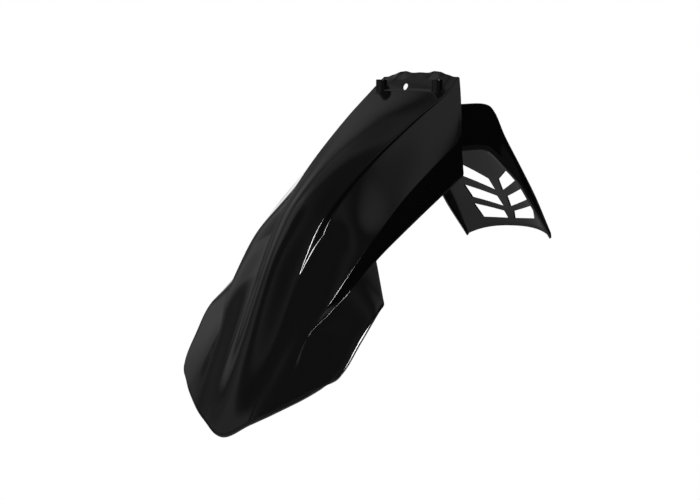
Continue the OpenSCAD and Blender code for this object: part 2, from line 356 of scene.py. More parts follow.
def spread(size: Array, start: Array, end: Array, count: int) -> Array:
    """Shares across a strip: its two ends, and even steps between the rounds at its ends.

    Args:
        size: length of the strip in each row.
        start: reach of the round at its start.
        end: reach of the round at its end.
        count: steps between the rounds.

    Returns:
        Shares, (rows, count + 3).
    """
    f = np.linspace(0, 1, count + 1)[None, :]
    inside = mix((start / size)[:, None], 1 - (end / size)[:, None], f)
    zero = np.zeros((len(size), 1))
    return np.hstack([zero, inside, zero + 1])


@dataclass
class Part:
    """A part of the mudguard.

    Attributes:
        sizes: the mudguard's sizes.
    """

    sizes: Sizes = field(default_factory=Sizes)

    def build(self) -> Mesh:
        """The part as closed meshes in one."""
        raise NotImplementedError


@dataclass
class LoftedShell(Part):
    """A wall swept along stations, with strips across that are creased or smooth at corners.

    Attributes:
        crease_round: reach of the round of an outer crease, to each side of it.
        round_steps: steps round a crease.
        rim_steps: distances of the last points from the rim, in shares of its width.
        rim_power: how late the rim's round sets in, where 1 is a plain bevel.
        lip: share of the rim's width, next to its edge, that turns in further.
        lip_turn: how much further it turns in, in shares of the rim's round.
        end_rims: which of the first and last rows are stiffened rims.
    """

    crease_round: float = 1.3
    round_steps: int = 6
    rim_steps: Row = (1, 0.8, 0.6, 0.42, 0.27, 0.15, 0.06, 0.015, 0)
    rim_power: float = 1.3
    lip: float = 0.15
    lip_turn: float = 0.25
    end_rims: tuple[bool, bool] = (False, False)

    def stations(self) -> Array:
        """Stations of the rows, from the rear toward the nose."""
        raise NotImplementedError

    def strips(self, t: Array) -> list[Strip]:
        """Strips of the half section from the middle out to the rim, at stations t."""
        raise NotImplementedError

    def lift(self, t: Array, points: Array) -> Array:
        """Height added to points for local relief."""
        return np.zeros(points.shape[:2])

    def rim_shares(self, size: Array, start: Array, columns: int) -> Array:
        """Shares across the last strip, with its last points close together on the rim.

        Args:
            size: length of the strip in each row.
            start: reach of the round at its start.
            columns: points between that round and the rim.

        Returns:
            Shares, (rows, columns).
        """
        width = np.minimum(self.sizes.rim_w, 0.5 * size) / size
        rim = 1 - width[:, None] * np.array(self.rim_steps)[None, :]
        f = np.linspace(0, 1, columns)[None, :-1]
        body = mix((start / size)[:, None], 1 - width[:, None], f)
        return np.hstack([np.zeros((len(size), 1)), body, rim])

    def rim_share(self, points: Array, from_side: Array) -> Array:
        """How near each point is to a rim: 0 from the rim's width inward, 1 at the edge.

        Args:
            points: points of one strip, (rows, columns, 3).
            from_side: distance of each point from the side rim.

        Returns:
            Shares, (rows, columns).
        """
        near = from_side
        steps = np.linalg.norm(np.diff(points, axis=0), axis=-1)
        first, last = self.end_rims
        zero = np.zeros((1, points.shape[1]))
        if first:
            near = np.minimum(near, np.vstack([zero, np.cumsum(steps, axis=0)]))
        if last:
            back = np.cumsum(steps[::-1], axis=0)[::-1]
            near = np.minimum(near, np.vstack([back, zero]))
        return np.clip(1 - near / self.sizes.rim_w, 0, 1)

    def rim_turn(self, near: Array) -> Array:
        """How far the rim has turned in at shares from rim_share, in shares of its round."""
        lip = np.clip((near - (1 - self.lip)) / self.lip, 0, 1)
        return near**self.rim_power + self.lip_turn * lip**2

    def grids(self) -> Pair:
        """Outer and inner surface of the whole width.

        Each strip is offset by its own normal. Where two strips meet in a crease, the offset
        corner is where the two offset planes cross, and the strip's points slide to meet it.
        A crease is then a quadratic curve from the point before it to the point after it,
        pulled toward the corner.

        Returns:
            Two arrays of shape (rows, columns, 3).
        """
        s, t = self.sizes, self.stations()
        strips = self.strips(t)
        patches, normals, near = [], [], []
        for k, strip in enumerate(strips):
            points = strip.points()
            points[..., 2] += self.lift(t, points)
            along, across = np.gradient(points, axis=0), np.gradient(points, axis=1)
            size = np.linalg.norm(strip.q - strip.p, axis=1)[:, None]
            last = k == len(strips) - 1
            from_side = (1 - strip.shares) * size if last else np.full(strip.shares.shape, 1e3)
            patches.append(points)
            normals.append(unit(np.cross(along, across)))
            near.append(self.rim_share(points, from_side))
        # the middle of the section is its own mirror image, and its first two points coincide
        normals[0][:, :2] = unit(normals[0][:, 1:2] * [0, 1, 1])
        roll = [s.rim_round * self.rim_turn(n) for n in near]
        thick = [mix(s.wall, s.rim_wall, n) for n in near]
        return tuple(self.joined_row(patches, normals, depth, strips) for depth in (roll, thick))

    def joined_row(
        self,
        patches: list[Array],
        normals: list[Array],
        depth: list[Array],
        strips: list[Strip],
    ) -> Array:
        """Offsets the strips inward, meets them at the corners and rounds the creases.

        Args:
            patches: points of each strip.
            normals: outward normals at those points.
            depth: distance to offset each point.
            strips: the strips, for their shares.

        Returns:
            Points of the whole width, (rows, columns, 3).
        """
        moved = [p - n * d[..., None] for p, n, d in zip(patches, normals, depth, strict=True)]
        for k in range(len(moved) - 1):
            n1, n2 = normals[k][:, -1], normals[k + 1][:, 0]
            cosine = np.clip(np.sum(n1 * n2, axis=1, keepdims=True), -0.3, 1)
            miter = (n1 + n2) / (1 + cosine)
            corner = patches[k][:, -1] - miter * depth[k][:, -1:]
            back, ahead = corner - moved[k][:, -1], corner - moved[k + 1][:, 0]
            moved[k] = moved[k] + back[:, None] * strips[k].shares[..., None]
            moved[k + 1] = moved[k + 1] + ahead[:, None] * (1 - strips[k + 1].shares[..., None])
        u = np.linspace(0, 1, self.round_steps + 1)[None, :, None]
        row = [moved[0][:, :1], moved[0][:, 2:-2]]
        for k in range(len(moved) - 1):
            curve = moved[k][:, -2], moved[k][:, -1], moved[k + 1][:, 1]
            a, c, b = (v[:, None] for v in curve)
            row.append((1 - u) ** 2 * a + 2 * u * (1 - u) * c + u**2 * b)
            end = -2 if k + 1 < len(moved) - 1 else None
            row.append(moved[k + 1][:, 2:end])
        half = np.concatenate(row, axis=1)
        return np.concatenate([half[:, :0:-1] * [-1, 1, 1], half], axis=1)

    def build(self) -> Mesh:
        """The closed shell."""
        return closed_shell(*self.grids())


@dataclass
class FrontShell(LoftedShell):
    """Band, steps, shoulders, skirts and winglets, from the crest to the nose.

    Station 0 is the crest, 1 lies just behind the front edge of the lip plate, 5 is the
    notch before the winglet and 8 the rim of the nose.

    Attributes:
        columns: steps across half the band, the step, the shoulder and the skirt's upper
            strip, and points across its lower strip.
        rows_per_station: rows from one station to the next.
        step_share: rows of station, share of the step's width and share of its depth.
        step_turn: station where the step starts to turn from outward to along the surface,
            and the stations that it takes.
        fade_starts: stations where the band's and the shoulder's crease start to fade.
        fade_run: stations that this takes.
        crease_ends: stations where the step and the skirt stop being flat strips.
        foot_share: how near the skirt's foot is to its rim at station 2, and how much nearer
            it comes by station 5, in shares of the skirt's width.
        foot_start: station from which it has its own line.
        crest_lift: height of the crest's relief, by shares of the band's half width.
        crest_fade: station where that relief has ended.
        plate_end: station where the lip plate starts to fall off.
        plate_fall: stations that its front edge takes.
        plate_margin: distance of its side edge from the band's edge.
        plate_slope: width of that side edge.
        bulge_share: bulge of the shoulder by station, in shares of the full one.
        round_limit: longest reach of a crease's round, in shares of the strips beside it.
    """

    end_rims: tuple[bool, bool] = (False, True)
    columns: tuple[int, ...] = (28, 3, 20, 7, 9)
    rows_per_station: int = 19
    step_share: tuple[Row, ...] = (
        *((0, 0.3, 0.14), (1, 0.32, 0.26), (2, 0.32, 0.33), (3, 0.4, 0.4), (4, 0.56, 0.57)),
        *((5, 1, 1), (6, 0.1, 0.02), (7, 0.3, 0), (8, 0.4, 0)),
    )
    step_turn: Span = (5.3, 0.7)
    fade_starts: Span = (4.2, 5.2)
    fade_run: float = 1.8
    crease_ends: Span = (6, 7)
    foot_share: Span = (0.6, 0.33)
    foot_start: float = 4.4
    crest_lift: Guide = guide(
        *((0, -1.4), (0.24, -1.3), (0.38, 0.9), (0.54, 0.9), (0.7, -1), (0.88, -0.8), (1, 0))
    )
    crest_fade: float = 0.8
    plate_end: float = 1.06
    plate_fall: float = 0.05
    plate_margin: float = 13
    plate_slope: float = 8
    bulge_share: Guide = guide((0, 0.7), (2, 0.3), (3.2, -0.3), (4.3, 1.3), (5.3, 0.9), (8, 1))
    round_limit: float = 0.38

    def spot(self, x: float, ahead: float, below: float, drop: float = 0) -> Array:
        """The point at x, by its shares of the reach and of the nose's drop, lowered by drop."""
        return np.array([x, -ahead * self.sizes.reach, -below * self.sizes.nose_drop - drop])

    def spots(self, *rows: Row, drop: float = 0) -> list[Row]:
        """Rows of (station, X, Y, Z) from rows of a station and a spot's x, ahead and below."""
        return [(row[0], *self.spot(*row[1:], drop)) for row in rows]

    def shoulder_line(self) -> Guide:
        """The edge of the shoulder."""
        top, nose = self.sizes.shoulder_half, self.sizes.band_nose_half
        return guide(
            *self.spots(
                *((0, top, 0.062, 0.183), (1, top, 0.107, 0.204), (2, top - 1.5, 0.24, 0.274)),
                *((3, top - 4, 0.39, 0.363), (4, top - 4.5, 0.514, 0.452)),
                *((5, top - 7.5, 0.593, 0.516), (6, mix(top, nose, 0.27), 0.712, 0.629)),
                (7, mix(top, nose, 0.465), 0.791, 0.727),
                (8, mix(top, nose, 0.61), 0.94, 0.932),
            )
        )

    def notch(self) -> Array:
        """The notch between the skirt and the winglet."""
        return self.spot(self.sizes.skirt_half - 5.5, 0.5226, 0.411, self.sizes.skirt_depth)

    def skirt_rim(self) -> Guide:
        """The rim of the skirt, up to the notch."""
        half = self.sizes.skirt_half
        rows = (0, half, 0.059, 0.181), (3, half - 1.5, 0.338, 0.313)
        return guide(*self.spots(*rows, drop=self.sizes.skirt_depth), (5, *self.notch()))

    def skirt_foot(self, t: Array) -> Array:
        """Foot of the skirt's upper strip beside the wheel, close above the rim."""
        least, growth = self.foot_share
        share = (least + growth * ease((t - 2) / 3))[:, None]
        rim = self.skirt_rim().at(np.minimum(t, 5))
        return mix(self.shoulder_line().at(t), rim, share)

    def guides(self) -> dict[str, Guide]:
        """The guide lines, as in the CAD source."""
        s, spot, spots = self.sizes, self.spot, self.spots
        band, nose, wing = s.band_half, s.band_nose_half, s.winglet_half
        notch = self.notch()
        corner = spot(wing - 1.8, 0.6, 0.638)
        edge = spot(wing - 0.7, 0.639, 0.661)
        foot_turn = spot(mix(s.skirt_half, nose, 0.175), 0.655, 0.61)
        foot_point = spot(mix(s.shoulder_half, nose, 0.463), 0.791, 0.7278)
        return {
            "ridge": guide(
                (0, 0, s.crest_back, s.crest_rise),
                *spots((1, 0, 0, 0.027), (2, 0, 0.19, 0.113), (3, 0, 0.41, 0.223)),
                *spots((4, 0, 0.58, 0.334), (5, 0, 0.67, 0.423), (6, 0, 0.763, 0.549)),
                *spots((7, 0, 0.886, 0.775), (8, 0, 1, 1)),
            ),
            "band": guide(
                (0, band, s.crest_back + 1, s.crest_rise - 5),
                *spots((1, band + 2, 0, 0.035), (2, mix(band, nose, 0.18), 0.17, 0.121)),
                *spots((3, mix(band, nose, 0.54), 0.373, 0.237)),
                *spots((4, mix(band, nose, 0.82), 0.534, 0.35), (5, nose, 0.627, 0.436)),
                *spots((6, nose - 1, 0.715, 0.562), (7, nose - 0.5, 0.839, 0.764)),
                *spots((8, nose, 0.976, 0.963)),
            ),
            "shoulder": self.shoulder_line(),
            "skirt": self.skirt_rim(),
            "winglet": guide(
                (5, *notch),
                (5.5, *mix(notch, corner, 0.86)),
                (5.6, *corner),
                (5.7, *mix(corner, edge, 0.3)),
                (6, *edge),
                *spots((7, wing - 3, 0.72, 0.737), (7.7, wing - 8, 0.798, 0.82)),
                *spots((7.9, wing - 12, 0.817, 0.84), (8, wing - 17.5, 0.832, 0.8525)),
            ),
            "foot": guide(
                (self.foot_start, *self.skirt_foot(np.array([self.foot_start]))[0]),
                *spots((5, s.skirt_half - 6.5, 0.527, 0.41), drop=s.skirt_depth),
                (6, *foot_turn),
                (6.5, *mix(foot_turn, foot_point, 0.5)),
                (7, *foot_point),
                *spots((8, mix(wing, nose, 0.47), 0.891, 0.895)),
            ),
        }

    def stations(self) -> Array:
        """Even rows, with closer ones at the plate's edge, the notch and the nose's rim."""
        n = self.rows_per_station
        # first and last station of each run of rows, and its number of rows
        runs = (
            *((0, 1.02, n + 1), (1.02, 1.14, 13), (1.16, 5, int(3.84 * n))),
            *((5, 5.6, int(0.9 * n)), (5.6, 7.95, int(2.3 * n))),
        )
        rim = 8 - 0.04 * np.array(self.rim_steps)
        return np.unique(np.concatenate([*(np.linspace(*run) for run in runs), rim]).round(6))

    def band_way(self, t: Array) -> Array:
        """Direction of the band's edge at stations t, toward the nose."""
        band = self.guides()["band"]
        return unit(band.at(np.minimum(8, t + 0.05)) - band.at(np.maximum(0, t - 0.05)))

    def corners(self, t: Array) -> Array:
        """Corners of the half section: ridge, band, step's foot, shoulder, skirt's foot, rim.

        Args:
            t: stations.

        Returns:
            Array of shape (6, rows, 3).
        """
        s, g = self.sizes, self.guides()
        a, b = g["band"].at(t), g["shoulder"].at(t)
        rear = (t < 5)[:, None]
        w = np.where(rear, g["skirt"].at(np.minimum(t, 5)), g["winglet"].at(np.maximum(t, 5)))
        beside = (t < self.foot_start)[:, None]
        foot = g["foot"].at(np.maximum(t, self.foot_start))
        c = np.where(beside, self.skirt_foot(t), foot)
        knots, width, depth = np.array(self.step_share).T
        width, depth = (np.interp(t, knots, v)[:, None] for v in (width, depth))
        down = unit(np.cross([1.0, 0.0, 0.0], self.band_way(t)))
        start, run = self.step_turn
        outward = (1 - ease((t - start) / run))[:, None]
        out = unit(mix(unit(b - a), np.array([1.0, 0.0, 0.0]), outward))
        f = a + out * s.step_width * width + down * s.step_depth * depth
        return np.stack([g["ridge"].at(t), a, f, b, c, w])

    def strips(self, t: Array) -> list[Strip]:
        """Band, step, shoulder, upper and lower skirt at stations t."""
        s, c, way = self.sizes, self.corners(t), self.band_way(t)
        chords = np.diff(c, axis=0)
        size = np.linalg.norm(chords, axis=-1)
        band, shoulder = (1 - ease((t - start) / self.fade_run) for start in self.fade_starts)
        step, skirt = ((t < end).astype(float) for end in self.crease_ends)
        zero = np.zeros(len(t))
        one = zero + 1
        bulge = [one, zero, s.shoulder_bulge * self.bulge_share.at(t)[:, 0], zero, zero]
        r, a, f, b, foot, w = c
        shared = [
            between(chords[0] * [1, -1, -1], chords[0]),
            between(a - r, b - a),
            between(f - r, b - f),
            between(b - f, w - b),
            between(foot - f, w - foot),
            unit(chords[4]),
        ]
        crease = [(zero, band), (step, step), (band, shoulder), (skirt, skirt), (shoulder, one)]
        reach = [zero]
        for k in range(4):
            limit = self.round_limit * np.minimum(size[k], size[k + 1])
            reach.append(np.minimum(self.crease_round, limit))
        shares = [spread(size[k], reach[k], reach[k + 1], self.columns[k]) for k in range(4)]
        shares.append(self.rim_shares(size[4], reach[4], self.columns[4]))
        made = []
        for k in range(5):
            lift = unit(np.cross(way, chords[k])) * 4 * bulge[k][:, None]
            ends, at_ends = (c[k], c[k + 1]), (shared[k], shared[k + 1])
            made.append(make_strip(ends, at_ends, crease[k], lift, shares[k]))
        return made

    def lift(self, t: Array, points: Array) -> Array:
        """Relief of the lip plate: its raised face, its humps and the dips outside them."""
        s, x = self.sizes, np.abs(points[..., 0])
        t = t[:, None]
        end = 1 - ease((t - self.plate_end) / self.plate_fall)
        plate = end * (1 - ease((x - s.band_half + self.plate_margin) / self.plate_slope))
        across = np.clip(x / s.band_half, 0, 1)
        top = max(row[1] for row in self.crest_lift.rows)
        hump = np.minimum(self.crest_lift.at(across.ravel()), top).reshape(x.shape)
        return s.plate_raise * plate + (1 - ease(t / self.crest_fade)) * hump


@dataclass
class TailShell(LoftedShell):
    """Deck, flanks and tail, from the bottom edge forward to the mouth under the crest.

    Attributes:
        plate_columns: steps across half the plate.
        flank_columns: points across the flank, up to its rim.
        rows_per_station: rows from one station to the next.
        fold_round: reach of the round between plate and flank.
        fold_limit: longest reach of that round, in shares of the flank's width.
        fold_fade: how much of its sharpness the fold loses between stations 2 and 4.
        least_flank: width below which the flank's points keep their shares.
    """

    end_rims: tuple[bool, bool] = (True, False)
    plate_columns: int = 44
    flank_columns: int = 12
    rows_per_station: int = 14
    fold_round: float = 2.2
    fold_limit: float = 0.2
    fold_fade: float = 0.5
    least_flank: float = 8

    def guides(self) -> dict[str, Guide]:
        """The guide lines, as in the CAD source."""
        s = self.sizes
        deck, tip, low = -s.deck_drop, -s.tail_drop, -s.deck_drop - s.flank_depth

        def spots(*rows: Row, x: float = 0, bow: float = 0) -> list[Row]:
            """Rows from station, X beyond x, share of the reach and share of the tail's drop."""
            return [(t, x + dx, y * s.tail_reach + bow, mix(deck, tip, z)) for t, dx, y, z in rows]

        middle = spots(
            *((1, 0, 0.333, 0), (2, 0, 0.457, 0.087), (3, 0, 0.584, 0.298)),
            *((4, 0, 0.743, 0.568), (5, 0, 0.883, 0.775), (6, 0, 0.95, 0.912)),
            bow=s.tail_bow,
        )
        fold = spots(
            *((1, 1, 0.329, 0), (2, 1.5, 0.427, 0.062), (3, 2, 0.525, 0.236)),
            *((4, 3, 0.685, 0.472), (5, 3, 0.842, 0.702), (6, 3, 1, 0.978)),
            x=s.deck_half,
        )
        flank = spots(
            *((3, 1.5, 0.539, 0.472), (4, 4.5, 0.667, 0.596), (5, 6, 0.799, 0.77)),
            (6, 5.5, 0.99, 1),
            x=s.deck_half,
        )
        return {
            "middle": guide((0, 0, s.deck_front, deck), *middle),
            "fold": guide((0, s.mouth_half, s.deck_front, deck), *fold),
            "flank": guide(
                (0, s.mouth_half + 0.5, s.deck_front, low),
                (1, s.deck_half + 1, 0.311 * s.tail_reach, low + 1),
                (2, s.deck_half + 1, 0.411 * s.tail_reach, low - 5),
                *flank,
            ),
        }

    def stations(self) -> Array:
        """Rows from the bottom edge, closer together on its rim, up to the mouth."""
        n = self.rows_per_station
        rim = 6 - 0.08 * np.array(self.rim_steps)
        body = np.concatenate([np.linspace(0, 1, 8), np.linspace(1, 5.9, int(4.9 * n))[1:]])
        return np.unique(np.concatenate([body, rim]).round(6))[::-1]

    def strips(self, t: Array) -> list[Strip]:
        """Plate and flank at stations t."""
        s, g = self.sizes, self.guides()
        m, f, r = (g[name].at(t) for name in ("middle", "fold", "flank"))
        middle = g["middle"]
        way = unit(middle.at(np.maximum(0, t - 0.1)) - middle.at(np.minimum(6, t + 0.1)))
        bow = s.tail_bow / 4 * ease((t - 1) / 2)
        sharp = 1 - self.fold_fade * ease((t - 2) / 2)
        plate, flank = f - m, r - f
        zero = np.zeros(len(t))
        size = [np.linalg.norm(v, axis=1) for v in (plate, flank)]
        reach = np.minimum(self.fold_round, self.fold_limit * size[1])
        plate_shares = spread(size[0], zero, reach, self.plate_columns)
        flank_width = np.maximum(self.least_flank, size[1])
        flank_shares = self.rim_shares(flank_width, reach, self.flank_columns)
        shared = (between(plate * [1, -1, -1], plate), between(plate, flank), unit(flank))
        lift = unit(np.cross(way, plate)) * 4 * bow[:, None]
        return [
            make_strip((m, f), shared[:2], (zero, sharp), lift, plate_shares),
            make_strip((f, r), shared[1:], (sharp, zero + 1), lift * 0, flank_shares),
        ]


@dataclass
class ForkWalls(Part):
    """Flat upright walls between the shoulders' rear edges and the flanks.

    Attributes:
        run_on: how far a wall runs on past the shoulder's top corner.
        sink: how far its top edge lies below the shell's surface.
    """

    run_on: float = 1
    sink: float = 1

    def build(self) -> Mesh:
        """Both walls."""
        s, front = self.sizes, FrontShell(self.sizes)
        strips = front.strips(np.array([0.0, 0.01]))[2:]
        edge = np.concatenate([strip.points()[0, 1:] for strip in strips])
        edge = np.vstack([strips[0].p[0], edge])
        foot, hip = edge[0], strips[0].q[0]
        run = unit(hip[:2] - foot[:2])
        away = (edge[:, :2] - foot[:2]) @ run
        drop = np.full(len(edge), -self.sink)
        drop[-1] = self.sink
        low = -s.deck_drop - s.flank_depth + self.sink
        top = np.c_[away, edge[:, 2] + drop]
        under = [[self.run_on, low], [-self.run_on, low]]
        outline = np.vstack([[-self.run_on, top[0, 1]], top, under])
        # a point within a thousandth of a millimetre of the one before it is left out
        keep = np.r_[True, np.linalg.norm(np.diff(outline, axis=0), axis=1) > 1e-3]
        upright = Matrix.Rotation(math.pi / 2, 4, "X")
        turn = Matrix.Rotation(math.atan2(run[1], run[0]), 4, "Z") @ upright
        matrix = Matrix.Translation((foot[0], foot[1], 0)) @ turn
        wall = placed(prism(outline[keep][::-1], 0, s.wall), matrix)
        return joined(wall, wall.mirrored())


@dataclass
class Bosses(Part):
    """Bolt bosses: tubes with a rounded top edge and a collar at the foot.

    Attributes:
        edge_round: radius of their rounded edges.
    """

    edge_round: float = 0.6

    def profile(self, foot: float, collar: float) -> Array:
        """Outline of a boss as (radius, height), with quarter rounds on its outer edges.

        Args:
            foot: height of its foot.
            collar: height of the collar above the foot.

        Returns:
            Points from the axis at the foot to the axis at the top.
        """
        s, r = self.sizes, self.edge_round
        angle = np.linspace(0, math.pi / 2, 6)
        quarter = np.c_[np.cos(angle), np.sin(angle)] * r
        collar_top = foot + collar
        rim = [s.collar_d / 2 - r, collar_top - r]
        top = [s.boss_d / 2 - r, -r]
        neck = np.c_[1 - np.sin(angle), 1 - np.cos(angle)] * r + [s.boss_d / 2, collar_top]
        start = [[0, foot], [s.collar_d / 2, foot]]
        return np.vstack([start, quarter + rim, neck, quarter + top, [[0, 0]]])

    def build(self) -> Mesh:
        """The two front and two rear bosses."""
        s = self.sizes
        rows = (
            (s.front_bolt_spacing, 0.0, s.front_boss_foot, s.front_collar_h),
            (s.rear_bolt_spacing, s.bolt_row_gap, -s.deck_drop - s.wall / 2, s.rear_collar_h),
        )
        parts = []
        for spacing, y, foot, collar in rows:
            parts += on_both_sides(turned(self.profile(foot, collar)), spacing / 2, y)
        return joined(*parts)


@dataclass
class Cutters(Part):
    """What is cut away: bolt holes, the vent hole and the slots of the tail.

    Attributes:
        bolt_bore: bottom and top of the rods that cut the bolt holes.
        vent_place: centre of the vent hole.
        vent_turn: its turns about X, Y and Z in degrees.
        vent_bore: length of the rod that cuts it.
        slot_rows: for each pair of slots its share of the tail's drop, the rise of its upper
            and of its lower edge, where both end, and its height in shares of slot_h.
        vein_flare: how much wider than the vein its upper and its lower edge begin.
        slot_room: where the slots' tools start behind the deck's front, and how far they
            reach beyond the tail.
    """

    bolt_bore: Span = (-100, 20)
    vent_place: Point = (-6.8, 3, -8.2)
    vent_turn: Point = (94, 0, 22)
    vent_bore: float = 24
    slot_rows: tuple[Row, ...] = (
        (0.629, 0.65, 0.49, 43.5, 42, 1.16),
        (0.742, 0.38, 0.31, 42.5, 40, 1.03),
        (0.84, 0.25, 0.02, 41.5, 36.5, 0.69),
    )
    vein_flare: Span = (1.5, -0.5)
    slot_room: Span = (60, 100)

    def rod(self, radius: float, low: float, high: float) -> Mesh:
        """A plain cylinder on the Z axis."""
        return turned(np.array([[0, low], [radius, low], [radius, high], [0, high]]), 64)

    def bolt_holes(self) -> list[Mesh]:
        """Bores of the four bolts."""
        s = self.sizes
        bore = self.rod(s.bolt_hole_d / 2, *self.bolt_bore)
        rear = on_both_sides(bore, s.rear_bolt_spacing / 2, s.bolt_row_gap)
        return on_both_sides(bore, s.front_bolt_spacing / 2, 0) + rear

    def vent(self) -> Mesh:
        """The small slanted hole beside the centre of the crest."""
        rod = self.rod(self.sizes.vent_hole_d / 2, -self.vent_bore / 2, self.vent_bore / 2)
        x, y, z = (math.radians(a) for a in self.vent_turn)
        turn = Matrix.Rotation(z, 4, "Z") @ Matrix.Rotation(y, 4, "Y") @ Matrix.Rotation(x, 4, "X")
        return placed(rod, Matrix.Translation(self.vent_place) @ turn)

    def slots(self) -> list[Mesh]:
        """The six slots, cut straight through to the rear."""
        s, made = self.sizes, []
        for share, rise_top, rise_low, half_top, half_low, height in self.slot_rows:
            top = -share * s.tail_drop
            low = top - s.slot_h * height
            inner_top, inner_low = (s.vein_w / 2 + flare for flare in self.vein_flare)
            low_end = [half_low, low + (half_low - inner_low) * rise_low]
            top_end = [half_top, top + (half_top - inner_top) * rise_top]
            outline = np.array([[inner_low, low], low_end, top_end, [inner_top, top]])
            front, back = s.deck_front + self.slot_room[0], s.tail_reach + self.slot_room[1]
            body = placed(prism(outline, -back, -front), Matrix.Rotation(math.pi / 2, 4, "X"))
            made += [body, body.mirrored()]
        return made

    def build(self) -> Mesh:
        """All cutters in one mesh. None of them touches another."""
        return joined(*self.bolt_holes(), self.vent(), *self.slots())


def nodes_of(material: bpy.types.Material) -> tuple[Tree, bpy.types.Node]:
    """Turns nodes on in a material and returns its tree and its Principled BSDF."""
    material.use_nodes = True
    return material.node_tree, material.node_tree.nodes["Principled BSDF"]


def add_node(
    tree: Tree, kind: str, inputs: dict[str | int, object], **settings: object
) -> bpy.types.bpy_prop_collection:
    """Adds a shader node.

    Args:
        tree: node tree that gets the node.
        kind: its type.
        inputs: for each input, by name or number, its value or the output linked to it.
        settings: the node's other properties.

    Returns:
        Its outputs.
    """
    node = tree.nodes.new("ShaderNode" + kind)
    for name, value in settings.items():
        setattr(node, name, value)
    for name, value in inputs.items():
        if isinstance(value, Socket):
            tree.links.new(value, node.inputs[name])
        else:
            node.inputs[name].default_value = value
    return node.outputs


def maths(tree: Tree, operation: str, *values: float | Socket, clamp: bool = False) -> Socket:
    """Result of an operation on two or three values or outputs."""
    inputs = dict(enumerate(values))
    return add_node(tree, "Math", inputs, operation=operation, use_clamp=clamp)[0]


def along(tree: Tree, vector: Socket, way: Row | Vector) -> Socket:
    """How far a vector reaches along a direction."""
    return add_node(tree, "VectorMath", {0: vector, 1: way}, operation="DOT_PRODUCT")["Value"]


def ramp(
    tree: Tree, value: Socket, across: Row, output: Row = (0, 1), smooth: bool = False
) -> Socket:
    """A ramp between two values.

    Args:
        tree: node tree that gets the node.
        value: what is mapped.
        across: values at which the ramp starts and ends.
        output: its result before and after the ramp.
        smooth: True for a ramp that is flat at both ends.

    Returns:
        The ramp's output.
    """
    names = ("Value", "From Min", "From Max", "To Min", "To Max")
    inputs = dict(zip(names, (value, *across, *output), strict=True))
    curve = "SMOOTHSTEP" if smooth else "LINEAR"
    return add_node(tree, "MapRange", inputs, interpolation_type=curve)["Result"]


def white_to_camera(tree: Tree, other: Socket, glossy: Socket | None = None) -> None:
    """Shows pure white to the camera and another shader to every other ray.

    Args:
        tree: node tree of a world or a material.
        other: shader output for the other rays.
        glossy: brightness in reflections, or None where it is the same as for other rays.
    """
    output = next(n for n in tree.nodes if n.bl_idname.startswith("ShaderNodeOutput"))
    path = add_node(tree, "LightPath", {})
    kinds = [] if glossy is None else [("Is Glossy Ray", glossy)]
    for ray, strength in [*kinds, ("Is Camera Ray", 1.0)]:
        flat = add_node(tree, "Emission", {"Color": (1, 1, 1, 1), "Strength": strength})
        other = add_node(tree, "MixShader", {0: path[ray], 1: other, 2: flat[0]})[0]
    tree.links.new(other, output.inputs["Surface"])


@dataclass(frozen=True)
class MouldSkin:
    """Shader group for the skin of a moulding: soft waviness, fine grain, scuffs and dust.

    Attributes:
        wave: scale, detail and roughness of the slow waviness that moulding leaves.
        grain: the same for the fine grain.
        scuffs: the same for the patches where the gloss is duller.
        specks: the same for the specks of dust.
        scuff_span: noise from which a patch sets in and at which it is full.
        speck_span: the same for a speck.
        edge_span: the same for an edge, by its pointiness.
        upward_span: the same for a face that dust can lie on, by its normal's Z.
    """

    wave: Row = (34, 2, 0.4)
    grain: Row = (900, 3, 0.6)
    scuffs: Row = (60, 6, 0.65)
    specks: Row = (420, 2, 0.5)
    scuff_span: Span = (0.52, 0.78)
    speck_span: Span = (0.68, 0.8)
    edge_span: Span = (0.53, 0.62)
    upward_span: Span = (0.5, 1.0)

    def group(self) -> Tree:
        """Makes the group, with sockets for position and strengths.

        Returns:
            The node tree, with outputs Height, Gloss Mask, Edge and Dust.
        """
        tree = bpy.data.node_groups.new("mould_skin", "ShaderNodeTree")
        new_socket = tree.interface.new_socket
        new_socket("Position", in_out="INPUT", socket_type="NodeSocketVector")
        for name, strength in (("Waviness", 1.0), ("Grain", 0.1)):
            entry = new_socket(name, in_out="INPUT", socket_type="NodeSocketFloat")
            entry.default_value = strength
        for name in ("Height", "Gloss Mask", "Edge", "Dust"):
            new_socket(name, in_out="OUTPUT", socket_type="NodeSocketFloat")
        start, end = (tree.nodes.new("NodeGroup" + side) for side in ("Input", "Output"))

        def noise(look: Row) -> Socket:
            """Noise over the position, by its scale, detail and roughness."""
            inputs = dict(zip(("Scale", "Detail", "Roughness"), look, strict=True))
            inputs["Vector"] = start.outputs["Position"]
            return add_node(tree, "TexNoise", inputs)["Fac"]

        waved = maths(tree, "MULTIPLY", noise(self.wave), start.outputs["Waviness"])
        grained = maths(tree, "MULTIPLY", noise(self.grain), start.outputs["Grain"])
        surface = add_node(tree, "NewGeometry", {})
        upward = ramp(tree, along(tree, surface["Normal"], (0, 0, 1)), self.upward_span)
        specks = ramp(tree, noise(self.specks), self.speck_span)
        results = {
            "Height": maths(tree, "ADD", waved, grained),
            "Gloss Mask": ramp(tree, noise(self.scuffs), self.scuff_span),
            "Edge": ramp(tree, surface["Pointiness"], self.edge_span),
            "Dust": maths(tree, "MULTIPLY", upward, specks),
        }
        for name, result in results.items():
            tree.links.new(result, end.inputs[name])
        return tree


